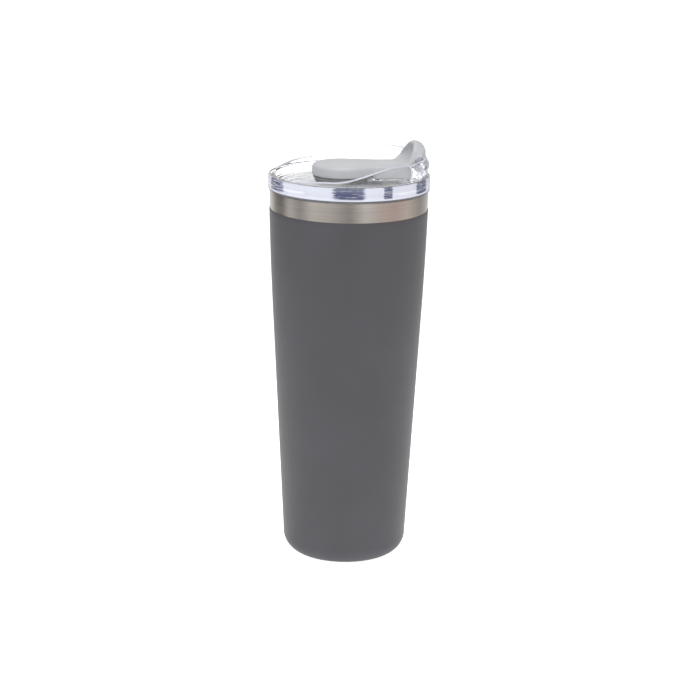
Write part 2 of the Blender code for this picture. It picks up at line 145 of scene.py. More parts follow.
# ---- the studio ----
CAMERA_TURN = radians(-12.5)
CAMERA_DISTANCE = 1.0127
CAMERA_HEIGHT = 0.3828
CAMERA_YAW = 0.0017
CAMERA_PITCH = 0.268
CAMERA_ROLL = 0.0155
CAMERA_LENS = 107.16
LIGHT_TARGET = (0, 0, 0.12)
LIGHT_BOUNCES = 24
GLOW_FADE = (0.08, 0.55)     # distances in metres over which the floor's glow fades
SHEET_FADE = (0.62, 0.28)    # distances in metres over which the far cards give way to the sheets
WHITE = (1.0, 1.0, 1.0, 1.0)

# Each of these goes round the cup: azimuth in degrees to the right of the camera, and a level or colour.
FLOOR_SHEETS = (
    (-180, 1.00), (-96, 1.00), (-72, 0.55), (-40, 0.45), (0, 0.36),
    (40, 0.48), (72, 0.60), (96, 1.00), (180, 1.00),
)
SOFT_LIGHT = (
    (-180, 0.60), (-135, 0.40), (-85, 0.30), (-45, 0.70), (0, 0.85),
    (35, 0.60), (65, 0.25), (115, 0.25), (150, 0.45), (180, 0.60),
)
CARDS = (
    (-180, 0.85), (-149, 0.78), (-128, 0.27), (-111, 0.17), (-94, 0.62), (-73, 0.35),
    (-54, 0.76), (-26, 0.64), (2, 0.36), (24, 0.84), (39, 0.70), (47, (0.70, 0.60, 0.58)),
    (70, (0.61, 0.51, 0.49)), (93, (0.68, 0.62, 0.60)), (123, 0.38), (148, 0.60), (180, 0.80),
)
CARD_TOPS = (0.35, 0.75)     # upward share of a direction, over which the cards give way to white


# ---- outlines ----
def smooth(share):
    """Eases from 0 to 1."""
    share = min(1.0, max(0.0, share))
    return share * share * (3 - 2 * share)


def body_radius(z):
    above = max(0.0, z - CURVE_START)
    return BASE_RADIUS + TAPER * z - CURVE_RATE * above**2


def steel_radius(z):
    return body_radius(z) - COAT_STEP


def liner_radius(z):
    """Inside of the liner: 4 mm in from the steel wall's outside, and nearly straight at the seat."""
    start = SEAT_Z - WIDENING
    narrow = body_radius(min(z, start)) - LINER_STEP
    if z >= SEAT_Z:
        return SEAT_RADIUS + (z - SEAT_Z) * SEAT_DRAFT
    return narrow + (SEAT_RADIUS - narrow) * smooth((z - start) / WIDENING)


def arc(r, z, radius, start, end, steps):
    """Points of an arc about (r, z), from one angle to another in degrees."""
    return [
        (r + radius * cos(radians(start + (end - start) * i / steps)),
         z + radius * sin(radians(start + (end - start) * i / steps)))
        for i in range(steps + 1)
    ]


def span(start, end, steps):
    """Evenly spaced values, with both ends."""
    return [start + (end - start) * i / steps for i in range(steps + 1)]


def round_corners(outline, radius):
    """Rounds every corner of a closed (r, z) outline that isn't on the axis."""
    result = []
    for i, (r, z) in enumerate(outline):
        corner = Vector((r, z))
        before = Vector(outline[i - 1]) - corner
        after = Vector(outline[(i + 1) % len(outline)]) - corner
        a, b = before.normalized(), after.normalized()
        half = a.angle(b) / 2
        if r < ON_AXIS or half > radians(NEARLY_STRAIGHT):
            result.append((r, z))
            continue
        reach = min(radius / max(0.05, np.tan(half)), 0.48 * before.length, 0.48 * after.length)
        p, q = corner + a * reach, corner + b * reach
        for k in range(ROUNDING_STEPS + 1):
            t = k / ROUNDING_STEPS
            point = p * (1 - t) ** 2 + corner * 2 * t * (1 - t) + q * t * t
            result.append((point.x, point.y))
    return result


# ---- mesh tools ----
def new_object(name, bm, material, smooth_angle=40):
    bmesh.ops.recalc_face_normals(bm, faces=bm.faces)
    mesh = bpy.data.meshes.new(name)
    bm.to_mesh(mesh)
    bm.free()
    mesh.shade_smooth()
    mesh.set_sharp_from_angle(angle=radians(smooth_angle))
    obj = bpy.data.objects.new(name, mesh)
    bpy.context.scene.collection.objects.link(obj)
    if material:
        mesh.materials.append(material)
    return obj


def add_face(bm, corners):
    """A face in which a corner that comes twice, as on the axis, is taken once."""
    bm.faces.new(list(dict.fromkeys(corners)))


def revolve(name, outline, material, steps=192, x=0.0):
    """A solid turned about a vertical axis at x. The outline is a closed loop of (radius, z)."""
    bm = bmesh.new()
    turns = [2 * pi * k / steps for k in range(steps)]
    rings = []
    for r, z in outline:
        if r < ON_AXIS:
            rings.append([bm.verts.new((x * MM, 0, z * MM))] * steps)
        else:
            rings.append([bm.verts.new(((x + r * cos(t)) * MM, r * sin(t) * MM, z * MM)) for t in turns])
    for i, ring in enumerate(rings):
        j = (i + 1) % len(rings)
        other = rings[j]
        if outline[i][0] < ON_AXIS and outline[j][0] < ON_AXIS:
            continue
        for k in range(steps):
            after = (k + 1) % steps
            add_face(bm, (ring[k], ring[after], other[after], other[k]))
    return new_object(name, bm, material)


def prism(name, outline, start, end):
    """A solid of even section along Y. The outline is a closed loop of (x, z)."""
    bm = bmesh.new()
    low = [bm.verts.new(Vector((x, start, z)) * MM) for x, z in outline]
    high = [bm.verts.new(Vector((x, end, z)) * MM) for x, z in outline]
    bm.faces.new(low)
    bm.faces.new(high)
    for i in range(len(outline)):
        after = (i + 1) % len(outline)
        bm.faces.new((low[i], low[after], high[after], high[i]))
    return new_object(name, bm, None)


def apply_modifier(obj, modifier):
    bpy.context.view_layer.objects.active = obj
    bpy.ops.object.modifier_apply(modifier=modifier.name)


def boolean(obj, other, operation):
    modifier = obj.modifiers.new("cut", "BOOLEAN")
    modifier.operation = operation
    modifier.solver = "EXACT"
    modifier.object = other
    apply_modifier(obj, modifier)
    bpy.data.objects.remove(other)


def stand_in(obj, body, node):
    """Puts a visual piece on its body, in the place of a CAD node."""
    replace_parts(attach(obj, body), node)


# ---- material tools ----
def colour_sockets(sockets):
    return [socket for socket in sockets if socket.type == "RGBA"]


class Nodes:
    """A material's node tree, with short ways to add and join nodes."""

    def __init__(self, name):
        self.material = bpy.data.materials.new(name)
        self.material.use_nodes = True
        self.tree = self.material.node_tree
        self.shader = self.tree.nodes["Principled BSDF"]
        self.output = self.tree.nodes["Material Output"]

    def add(self, kind, **settings):
        node = self.tree.nodes.new(kind)
        for key, value in settings.items():
            if key in node.inputs:
                node.inputs[key].default_value = value
            else:
                setattr(node, key, value)
        return node

    def join(self, source, target):
        self.tree.links.new(source, target)

    def set(self, **values):
        """Sets inputs of the main shader, with _ for a space in a name."""
        for key, value in values.items():
            self.shader.inputs[key.replace("_", " ")].default_value = value

    def position(self, scale=(1000, 1000, 1000)):
        """The place on the object, in millimetres unless another scale is given."""
        coordinates = self.add("ShaderNodeTexCoord")
        mapping = self.add("ShaderNodeMapping")
        mapping.inputs["Scale"].default_value = scale
        self.join(coordinates.outputs["Object"], mapping.inputs["Vector"])
        return mapping.outputs["Vector"]

    def noise(self, vector, scale, detail=3.0, roughness=0.5):
        node = self.add("ShaderNodeTexNoise")
        node.inputs["Scale"].default_value = scale
        node.inputs["Detail"].default_value = detail
        node.inputs["Roughness"].default_value = roughness
        self.join(vector, node.inputs["Vector"])
        return node.outputs["Fac"]

    def ramp(self, noise, low, high):
        """Maps the middle part of a noise's range to low and high."""
        node = self.add("ShaderNodeMapRange")
        node.inputs["From Min"].default_value = 0.35
        node.inputs["From Max"].default_value = 0.65
        node.inputs["To Min"].default_value = low
        node.inputs["To Max"].default_value = high
        self.join(noise, node.inputs["Value"])
        return node.outputs["Result"]

    def mix(self, value, low, high):
        """A colour that goes from low at 0 to high at 1."""
        node = self.add("ShaderNodeMix", data_type="RGBA")
        for socket, colour in zip(colour_sockets(node.inputs), (low, high)):
            socket.default_value = (*colour, 1)
        self.join(value, node.inputs["Factor"])
        return colour_sockets(node.outputs)[0]

    def paint(self, noise, low, high):
        """Makes the base colour wander between two colours."""
        self.join(self.mix(self.ramp(noise, 0, 1), low, high), self.shader.inputs["Base Color"])

    def math(self, operation, first, second=0.0):
        node = self.add("ShaderNodeMath", operation=operation)
        for socket, value in zip(node.inputs, (first, second)):
            if isinstance(value, (int, float)):
                socket.default_value = value
            else:
                self.join(value, socket)
        return node.outputs["Value"]

    def product(self, value, *others):
        for other in others:
            value = self.math("MULTIPLY", value, other)
        return value

    def largest(self, value, *others):
        for other in others:
            value = self.math("MAXIMUM", value, other)
        return value

    def rise(self, value, low, high):
        """Eases from 0 at low to 1 at high."""
        node = self.add("ShaderNodeMapRange", interpolation_type="SMOOTHSTEP")
        node.inputs["From Min"].default_value = low
        node.inputs["From Max"].default_value = high
        self.join(value, node.inputs["Value"])
        return node.outputs["Result"]

    def blend(self, share, first, second):
        node = self.add("ShaderNodeMixShader")
        self.join(share, node.inputs["Fac"])
        self.join(first, node.inputs[1])
        self.join(second, node.inputs[2])
        return node.outputs["Shader"]

    def bump(self, height, strength, depth):
        """Fine relief with a depth in millimetres."""
        node = self.add("ShaderNodeBump")
        node.inputs["Strength"].default_value = strength
        node.inputs["Distance"].default_value = depth * MM
        self.join(height, node.inputs["Height"])
        self.join(node.outputs["Normal"], self.shader.inputs["Normal"])


def split(n, vector):
    node = n.add("ShaderNodeSeparateXYZ")
    n.join(vector, node.inputs["Vector"])
    return node.outputs


def pick(tree, share, colour, other):
    """Colour where share is 0, and the other colour where it is 1."""
    node = tree.nodes.new("ShaderNodeMix")
    node.data_type = "RGBA"
    first, second = colour_sockets(node.inputs)
    if isinstance(other, tuple):
        second.default_value = other
    else:
        tree.links.new(other, second)
    tree.links.new(share, node.inputs["Factor"])
    tree.links.new(colour, first)
    return colour_sockets(node.outputs)[0]


def around_axis(tree, direction, stops):
    """Levels or colours by azimuth round the cup, in degrees to the right of the camera. Gives the
    colour and the direction's height."""
    spin = tree.nodes.new("ShaderNodeVectorRotate")
    spin.rotation_type = "Z_AXIS"
    spin.inputs["Angle"].default_value = -CAMERA_TURN
    parts = tree.nodes.new("ShaderNodeSeparateXYZ")
    front = tree.nodes.new("ShaderNodeMath")
    front.operation = "MULTIPLY"
    front.inputs[1].default_value = -1.0
    turn = tree.nodes.new("ShaderNodeMath")
    turn.operation = "ARCTAN2"
    share = tree.nodes.new("ShaderNodeMapRange")
    share.inputs["From Min"].default_value = -pi
    share.inputs["From Max"].default_value = pi
    ramp = tree.nodes.new("ShaderNodeValToRGB")
    elements = ramp.color_ramp.elements
    while len(elements) < len(stops):
        elements.new(0.5)
    for element, (azimuth, level) in zip(elements, stops):
        element.position = (azimuth + 180) / 360
        element.color = (*level, 1) if isinstance(level, tuple) else (level, level, level, 1)
    tree.links.new(direction, spin.inputs["Vector"])
    tree.links.new(spin.outputs["Vector"], parts.inputs["Vector"])
    tree.links.new(parts.outputs["X"], turn.inputs[0])
    tree.links.new(parts.outputs["Y"], front.inputs[0])
    tree.links.new(front.outputs["Value"], turn.inputs[1])
    tree.links.new(turn.outputs["Value"], share.inputs["Value"])
    tree.links.new(share.outputs["Result"], ramp.inputs["Fac"])
    return ramp.outputs["Color"], parts.outputs["Z"]


# ---- materials ----
def powder_coat_material():
    n = Nodes("powder_coat")
    place = n.position()
    fine = n.noise(place, 2.2, 4.0, 0.6)
    broad = n.noise(place, 0.03, 2.0)
    n.paint(broad, (0.057, 0.0555, 0.063), (0.062, 0.0605, 0.069))
    n.join(n.ramp(fine, 0.44, 0.56), n.shader.inputs["Roughness"])
    n.set(Metallic=0.0, Specular_IOR_Level=0.5, Sheen_Weight=0.12, Sheen_Roughness=0.4)
    n.bump(fine, 0.18, 0.06)
    return n.material


def brushed_steel_material(name="band_steel", tint=(0.64, 0.59, 0.54)):
    """Steel brushed round its axis: long fine lines round the cup, streaked highlights up and down."""
    n = Nodes(name)
    lines = n.noise(n.position((8, 8, 5200)), 1.0, 3.0, 0.65)
    patches = n.noise(n.position((60, 60, 500)), 1.0, 2.0)
    n.paint(lines, tuple(c * 0.86 for c in tint), tint)
    n.join(n.ramp(patches, 0.21, 0.27), n.shader.inputs["Roughness"])
    n.set(Metallic=1.0, Anisotropic=0.75, Anisotropic_Rotation=0.25)
    tangent = n.add("ShaderNodeTangent", direction_type="RADIAL", axis="Z")
    n.join(tangent.outputs["Tangent"], n.shader.inputs["Tangent"])
    n.bump(lines, 0.12, 0.03)
    return n.material


def painted_rim_reflections(n, height):
    """Painted reflections: dark patches round the lit rim, standing in for the darker things that it
    shows, with streaked edges.
    """
    stops = []
    for azimuth, half, depth in PAINTED_RIM_REFLECTIONS:
        inner = 0.7 * half
        stops += [(azimuth - half, 0.0), (azimuth - inner, depth)]
        stops += [(azimuth + inner, depth), (azimuth + half, 0.0)]
    # painted reflection: darkness by azimuth from the camera's side
    patches = around_axis(n.tree, n.add("ShaderNodeTexCoord").outputs["Object"], stops)[0]
    streaks = n.noise(n.position((140, 140, 1500)), 1.0, 3.0, 0.6)
    patches = n.math("ADD", patches, n.math("MULTIPLY", n.math("SUBTRACT", streaks, 0.5), 2.2))
    below_top = n.rise(height, LID_TOP + 0.3, LID_TOP + 0.1)
    above_bottom = n.rise(height, LID_BOTTOM + 1.4, LID_BOTTOM + 2.1)
    return n.product(n.rise(patches, 0.2, 1.1), below_top, above_bottom)


def clear_shader(n):
    """Clear plastic that lamps shine through."""
    ripple = n.noise(n.position(), 0.12, 2.0)
    n.set(Transmission_Weight=1.0, IOR=1.45, Specular_IOR_Level=0.5)
    n.paint(ripple, (0.975, 0.983, 1.0), (0.985, 0.99, 1.0))
    n.join(n.ramp(ripple, 0.0, 0.012), n.shader.inputs["Roughness"])
    through = n.add("ShaderNodeBsdfTransparent")
    through.inputs["Color"].default_value = (0.95, 0.965, 0.985, 1)
    lamps = n.add("ShaderNodeLightPath").outputs["Is Shadow Ray"]
    return n.blend(lamps, n.shader.outputs["BSDF"], through.outputs["BSDF"])


def lit_parts(n, radius, height, upward):
    """Where a painted highlight goes: the rim's outer wall and the collar's top edge."""
    wall = n.rise(radius, WALL_FADE[0], WALL_FADE[1])
    band = n.product(wall, n.rise(height, LID_BOTTOM + 0.8, LID_BOTTOM + 1.1), 0.88)
    edge = n.product(n.rise(upward, 0.1, 0.5), n.rise(radius, COLLAR_INNER - 0.3, COLLAR_INNER - 0.1))
    edge = n.product(edge, n.rise(height, LID_TOP + 0.1, LID_TOP + 0.4), 0.7)
    return n.largest(band, edge)


def painted_shade_lines(n, radius, height):
    """Painted shade: a dark band on the underside of the rim's outer edge, where it lies in shadow over
    the steel, and a dark line where the collar stands on the rim.
    """
    below = n.product(
        n.rise(height, LID_BOTTOM + 1.1, LID_BOTTOM + 0.8),
        n.rise(height, LID_BOTTOM - 0.6, LID_BOTTOM - 0.4),
        n.rise(radius, LID_RADIUS - 2.5, LID_RADIUS - 2.0),
    )
    shoulder_shade = n.product(
        n.rise(radius, COLLAR_OUTER, COLLAR_OUTER + 0.1),
        n.rise(radius, WALL_FADE[1], WALL_FADE[0]),
        n.rise(height, LID_TOP - 0.5, LID_TOP - 0.3),
        n.rise(height, LID_TOP + 0.2, LID_TOP + 0.1),
    )
    return n.largest(n.product(below, 0.95), n.product(shoulder_shade, 0.8))


def recess_floor(n, radius, height, upward):
    """The top of the recess's floor."""
    inside = n.rise(radius, RECESS_RADIUS - 1.0, RECESS_RADIUS - 3.0)
    below = n.rise(height, FLOOR_TOP + 0.5, FLOOR_TOP + 0.3)
    above = n.rise(height, FLOOR_TOP - 0.5, FLOOR_TOP - 0.3)
    return n.product(inside, upward, below, above)


def clear_plastic_material():
    """Clear lid plastic. Its thick rim and the collar's top edge get a painted pale blue glow for the
    light they gather, with painted darker patches where the rim shows what is behind it, and painted
    shade lines under the rim and at the collar's foot. The collar has dark blue clouds by the hinge, and
    the recess's floor is hazy. Only the plastic's outside has these tones."""
    n = Nodes("clear_plastic")
    clear = clear_shader(n)
    place = split(n, n.position())
    squares = [n.math("POWER", place[axis], 2.0) for axis in ("X", "Y")]
    radius = n.math("SQRT", n.math("ADD", squares[0], squares[1]))
    height = place["Z"]
    geometry = n.add("ShaderNodeNewGeometry").outputs
    upward = split(n, geometry["Normal"])["Z"]

    # painted shade lines under the rim and at the collar's foot
    lines = painted_shade_lines(n, radius, height)
    by_hinge = n.product(n.rise(place["X"], *DARK_CLOUD_X), n.rise(height, LID_TOP + 0.2, LID_TOP + 0.5))
    clouds = n.noise(n.position((900, 900, 1400)), 1.0, 3.0, 0.6)
    dark_clouds = n.product(by_hinge, n.rise(clouds, 0.40, 0.56))
    hazy = recess_floor(n, radius, height, upward)
    # where the painted light and shade, the clouds and the haze take the place of the clear plastic
    shaded = n.largest(lit_parts(n, radius, height, upward), lines)
    shaded = n.largest(shaded, n.product(dark_clouds, 0.75), n.product(hazy, 0.5))
    shaded = n.product(shaded, n.math("SUBTRACT", 1.0, geometry["Backfacing"]))

    # painted pale blue glow of the lit rim, turned to painted dark blue reflections in the patches
    tone = n.mix(painted_rim_reflections(n, height), (0.60, 0.615, 0.705), (0.065, 0.078, 0.15))
    # dark blue clouds painted on the collar by the hinge
    tone = pick(n.tree, n.product(dark_clouds, n.rise(clouds, 0.50, 0.58)), tone, (0.13, 0.15, 0.25, 1.0))
    tone = pick(n.tree, hazy, tone, (0.86, 0.87, 0.88, 1.0))
    # opaque shader that carries the painted glow, reflections and shade lines, and the haze
    rim = n.add("ShaderNodeBsdfPrincipled", Roughness=0.12)
    # near-black painted shade on those lines
    n.join(pick(n.tree, lines, tone, (0.06, 0.062, 0.075, 1.0)), rim.inputs["Base Color"])
    n.join(n.blend(shaded, clear, rim.outputs["BSDF"]), n.output.inputs["Surface"])
    return n.material


def closure_material():
    n = Nodes("closure_plastic")
    place = n.position()
    grain = n.noise(place, 3.0, 3.0, 0.6)
    n.paint(n.noise(place, 0.08, 2.0), (0.435, 0.445, 0.465), (0.465, 0.475, 0.49))
    n.join(n.ramp(grain, 0.38, 0.5), n.shader.inputs["Roughness"])
    n.set(Specular_IOR_Level=0.45)
    n.bump(grain, 0.12, 0.04)
    return n.material


def silicone_material(name, colour, roughness=0.6):
    n = Nodes(name)
    grain = n.noise(n.position(), 1.6, 3.0, 0.6)
    n.paint(grain, tuple(c * 0.85 for c in colour), colour)
    n.join(n.ramp(grain, roughness - 0.08, roughness + 0.08), n.shader.inputs["Roughness"])
    n.set(Specular_IOR_Level=0.4)
    n.bump(grain, 0.15, 0.05)
    return n.material


def worn_material(name, colour, roughness, metallic=1.0, scale=0.6):
    """A plain surface with slightly uneven colour and shine, for metals and the glass bead."""
    n = Nodes(name)
    grain = n.noise(n.position(), scale, 4.0, 0.6)
    n.paint(grain, tuple(c * 0.82 for c in colour), colour)
    n.join(n.ramp(grain, roughness - 0.06, roughness + 0.08), n.shader.inputs["Roughness"])
    n.set(Metallic=metallic)
    n.bump(grain, 0.2, 0.08)
    return n.material


# ---- the cup ----
def make_coat(material):
    centre = steel_radius(FOOT_ARC) - FOOT_ARC
    outline = [(body_radius(z), z) for z in span(COAT_TOP - 0.15, FOOT_ARC, 60)]
    outline += arc(centre, FOOT_ARC, FOOT_ARC + 0.3, 0, -62, 18)[1:]
    outline += arc(centre, FOOT_ARC, FOOT_ARC + 0.1, -62, 0, 18)[:-1]
    outline += [(body_radius(z) - 0.2, z) for z in span(FOOT_ARC, COAT_TOP, 60)]
    outline += [(body_radius(COAT_TOP) - 0.08, COAT_TOP)]
    obj = revolve("coat_shell", outline, material, 256)
    stand_in(obj, "cup", "powder_coat")


def make_outer_wall(material):
    heights = span(LIP_Z - 0.2, FOOT_ARC, 60)
    centre = steel_radius(FOOT_ARC) - FOOT_ARC
    edge = steel_radius(LIP_Z)
    outline = [(edge - WALL, LIP_Z - 0.05), (edge - 0.2, LIP_Z), (edge - 0.06, LIP_Z - 0.06)]
    outline += [(steel_radius(z), z) for z in heights]
    outline += arc(centre, FOOT_ARC, FOOT_ARC, 0, -90, 20)[1:]
    outline += [(FOOT_RING + 0.4, 0.0), (FOOT_RING + 0.1, 0.1), (FOOT_RING, 0.4), (FOOT_RING, 2.0)]
    outline += [(FOOT_RING + WALL, 2.0), (FOOT_RING + WALL, WALL)]
    outline += arc(centre, FOOT_ARC, FOOT_ARC - WALL, -90, 0, 20)[:-1]
    outline += [(steel_radius(z) - WALL, z) for z in reversed(heights)]
    obj = revolve("steel_wall", outline, material, 256)
    stand_in(obj, "cup", "outer_wall")


def make_inner_wall(material):
    floor_z, corner = 8.0, 6.0
    top = LIP_Z - 2.5
    heights = span(floor_z + corner, top, 80)
    centre = liner_radius(floor_z + corner) - corner
    lip, mouth = steel_radius(LIP_Z) - WALL - 0.06, liner_radius(top)
    outline = [(0.0, floor_z), (10.0, floor_z), (20.0, floor_z)]
    outline += arc(centre, floor_z + corner, corner, -90, 0, 14)[:-1]
    outline += [(liner_radius(z), z) for z in heights]
    outline += [(mouth + 0.02, LIP_Z - 0.8), (mouth + 0.15, LIP_Z - 0.3), (mouth + 0.45, LIP_Z)]
    outline += [(lip - 0.2, LIP_Z), (lip - 0.05, LIP_Z - 0.06), (lip, LIP_Z - 0.2)]
    outline += [(lip, LIP_Z - 0.75), (mouth + WALL, LIP_Z - 0.75)]
    outline += [(liner_radius(z) + WALL, z) for z in reversed(heights)]
    outline += arc(centre, floor_z + corner, corner + WALL, 0, -90, 14)[1:]
    outline += [(10.0, floor_z - WALL), (0.0, floor_z - WALL)]
    obj = revolve("steel_liner", outline, material, 256)
    stand_in(obj, "cup", "inner_wall")


def make_base_cover(material):
    edge = FOOT_RING - 0.3
    outline = [(0.0, 0.75), (3.0, 0.75), (9.0, 0.7), (edge - 2.7, 0.7), (edge - 1.7, 0.66)]
    outline += [(edge - 0.9, 0.36), (edge - 0.2, 0.3), (edge, 0.42), (edge, 0.75), (edge - 0.3, 0.85)]
    outline += [(edge - 0.5, 0.85), (edge - 1.4, 1.15), (edge - 2.7, 1.2), (0.0, 1.2)]
    obj = revolve("base_cap", outline, material, 160)
    stand_in(obj, "cup", "base_cover")


def finish_hidden_nodes():
    """The pieces inside the vacuum space keep their CAD shapes, and get their own materials."""
    looks = {
        "foil_wrap": worn_material("foil", (0.80, 0.45, 0.30), 0.28, 1.0, 0.4),
        "outer_bottom": worn_material("bottom_steel", (0.62, 0.60, 0.57), 0.36),
        "getter": worn_material("getter_pellet", (0.22, 0.22, 0.23), 0.75, 0.5, 2.5),
        "getter_clip": worn_material("strap_steel", (0.60, 0.59, 0.57), 0.32),
        "vacuum_seal": worn_material("seal_glass", (0.24, 0.34, 0.29), 0.18, 0.0, 1.2),
    }
    for node, look in looks.items():
        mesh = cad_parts[node].data
        mesh.materials.clear()
        mesh.materials.append(look)


# ---- the lid ----
def fall(angle, stretch):
    """Falls from 1 to 0 in an S over a stretch of degrees from the hinge."""
    return smooth((stretch[1] - angle) / (stretch[1] - stretch[0]))


def lid_section(height):
    """Half section of the lid, with the collar standing height above the rim (0 for none)."""
    outline = [(0.0, FLOOR_BOTTOM)]
    outline += [(r, FLOOR_BOTTOM) for r in (8.0, 16.0, 24.0, 30.0)]
    outline += arc(SKIRT_INNER - 1.2, FLOOR_BOTTOM - 1.2, 1.2, 90, 0, 5)
    outline += [(SKIRT_INNER, 181.0), (SKIRT_INNER, SKIRT_BOTTOM + 0.5)]
    outline += arc(SKIRT_INNER + 0.5, SKIRT_BOTTOM + 0.5, 0.5, 180, 270, 4)[1:]
    outline += arc(SKIRT_RADIUS - 1.2, SKIRT_BOTTOM + 1.2, 1.2, 270, 360, 5)
    outline += arc(SKIRT_RADIUS - 0.3, GROOVE_Z[0] - 0.3, 0.3, 0, 90, 3)
    outline += [(GROOVE_RADIUS, GROOVE_Z[0]), (GROOVE_RADIUS, GROOVE_Z[1])]
    outline += arc(SKIRT_RADIUS - 0.3, GROOVE_Z[1] + 0.3, 0.3, 270, 360, 3)
    outline += [(SKIRT_RADIUS, LID_BOTTOM - 0.4), (SKIRT_RADIUS + 0.4, LID_BOTTOM)]
    outline += arc(LID_RADIUS - 0.7, LID_BOTTOM + 0.7, 0.7, 270, 360, 5)
    outline += arc(LID_RADIUS - 0.8, LID_TOP - 0.8, 0.8, 0, 90, 5)
    edge = min(0.8, 0.45 * height)
    middle = (COLLAR_INNER + COLLAR_OUTER) / 2
    half = (COLLAR_OUTER - COLLAR_INNER) / 2
    wall = LID_TOP + height - edge
    rise = wall - LID_TOP
    outline += [(COLLAR_OUTER + COLLAR_DRAFT * (1 - k / 3), LID_TOP + rise * k / 3) for k in range(3)]
    outline += [(middle + half * cos(pi * k / 10), wall + edge * sin(pi * k / 10)) for k in range(11)]
    outline += [(COLLAR_INNER - COLLAR_DRAFT * k / 3, wall - rise * k / 3) for k in (1, 2, 3)]
    outline += [(RECESS_RADIUS + 0.25, LID_TOP - 0.08), (RECESS_RADIUS + 0.05, LID_TOP - 0.3)]
    outline += [(RECESS_RADIUS, LID_TOP - 0.8)]
    outline += arc(RECESS_RADIUS - 2.2, FLOOR_TOP + 2.2, 2.2, 0, -90, 8)
    panel = FLOOR_TOP - PANEL_DEPTH
    outline += [(32.6, FLOOR_TOP), (32.3, panel + 0.1), (31.6, panel)]
    outline += [(r, panel) for r in (24.0, 16.0, 8.0, 0.0)]
    return outline


def collar_height(angle):
    """The collar's height all round: up at the wings, none in the gap or at the drinking side."""
    if angle < WING_START:
        return 0.0
    height = (COLLAR_HEIGHT - LOW_LIP) * fall(angle, WING_FALL) + LOW_LIP * fall(angle, LIP_FALL)
    rounding = min(1.0, (angle - WING_START) / WING_ROUNDING)
    return height - 1.2 * (1 - sqrt(1 - (1 - rounding) ** 2))


def make_lid(material):
    """One closed body: the lid's section carried round the axis while the collar rises and falls."""
    half = [WING_START * i / 8 for i in range(8)] + [WING_START - 0.02]
    half += span(WING_START, WING_START + WING_ROUNDING, 6)[:-1]
    half += span(WING_START + WING_ROUNDING, 180.0, 120)
    bm = bmesh.new()
    low = bm.verts.new((0, 0, FLOOR_BOTTOM * MM))
    high = bm.verts.new((0, 0, (FLOOR_TOP - PANEL_DEPTH) * MM))
    rings = []
    for angle in [-a for a in reversed(half[1:-1])] + half:
        turn = radians(angle)
        section = lid_section(collar_height(abs(angle)))[1:-1]
        ring = [bm.verts.new((r * cos(turn) * MM, r * sin(turn) * MM, z * MM)) for r, z in section]
        rings.append([low, *ring, high])
    for i, ring in enumerate(rings):
        other = rings[(i + 1) % len(rings)]
        for a in range(len(ring) - 1):
            add_face(bm, (ring[a], other[a], other[a + 1], ring[a + 1]))
    lid = new_object("clear_lid", bm, material)
    add_ears(lid)
    cut_lid(lid)
    stand_in(lid, "lid", "lid_body")


def add_ears(lid):
    """An ear on each side of the hinge, to hold the pin's ends."""
    top = LID_TOP + COLLAR_HEIGHT - 0.25
    front = HINGE_X - 0.6
    reach = sqrt(COLLAR_OUTER**2 - EAR_Y[1] ** 2) - 0.35
    outline = [(front - EAR_ROUND, FLOOR_TOP - 1.0)]
    outline += arc(front, top - EAR_ROUND, EAR_ROUND, 180, 90, 12)
    outline += [(reach, top), (reach, FLOOR_TOP - 1.0)]
    for side in (1, -1):
        ear = prism("ear", outline, side * EAR_Y[0], side * EAR_Y[1])
        bevel = ear.modifiers.new("bevel", "BEVEL")
        bevel.width = 0.3 * MM
        bevel.segments = 2
        bevel.limit_method = "ANGLE"
        bevel.angle_limit = radians(50)
        apply_modifier(ear, bevel)
        boolean(lid, ear, "UNION")


def cut_lid(lid):
    """The drinking opening with its bevelled edge, the vent hole and the bores for the pin."""
    low, high = FLOOR_BOTTOM - 3.0, FLOOR_TOP + 0.4
    opening = [(0, low), (OPENING_RADIUS, low), (OPENING_RADIUS, FLOOR_TOP - 0.6)]
    opening += [(OPENING_RADIUS + 0.5, high), (0, high)]
    boolean(lid, revolve("opening", opening, None, 96, x=DISC_X + CUTTER_NUDGE), "DIFFERENCE")
    vent = [(0, low), (VENT_RADIUS, low), (VENT_RADIUS, FLOOR_TOP + 2.0), (0, FLOOR_TOP + 2.0)]
    boolean(lid, revolve("vent", vent, None, 32, x=VENT_X + CUTTER_NUDGE), "DIFFERENCE")
    bore = arc(HINGE_X, HINGE_Z, PIN_BORE, 3, 363 - 360 / 32, 31)
    boolean(lid, prism("bore", bore, -20, 20), "DIFFERENCE")
    lid.data.shade_smooth()
    lid.data.set_sharp_from_angle(angle=radians(35))


def make_lid_seal(material):
    base = SKIRT_RADIUS - 0.1
    low, high = GROOVE_Z[0] + 0.3, GROOVE_Z[1] - 0.3
    corners = [(GROOVE_RADIUS + 0.2, low), (base, low), (SEAL_LIP, low + 0.9), (SEAL_LIP, low + 1.5)]
    corners += [(base, low + 2.2), (base, low + 3.3), (SEAL_LIP, low + 4.2), (SEAL_LIP, low + 4.8)]
    corners += [(base, high), (GROOVE_RADIUS + 0.2, high)]
    obj = revolve("seal_ring_soft", round_corners(corners, 0.25), material, 192)
    stand_in(obj, "seal_ring", "lid_seal")


def make_pin(material):
    length, chamfer = EAR_Y[1] - 0.2, 0.25
    outline = [(0, -length), (PIN_RADIUS - chamfer, -length), (PIN_RADIUS, -length + chamfer)]
    outline += [(PIN_RADIUS, length - chamfer), (PIN_RADIUS - chamfer, length), (0, length)]
    obj = revolve("pin", outline, material, 48)
    place = Matrix.Translation(Vector((HINGE_X, 0, HINGE_Z)) * MM)
    obj.data.transform(place @ Matrix.Rotation(pi / 2, 4, "X"))
    stand_in(obj, "lid", "hinge_pin")


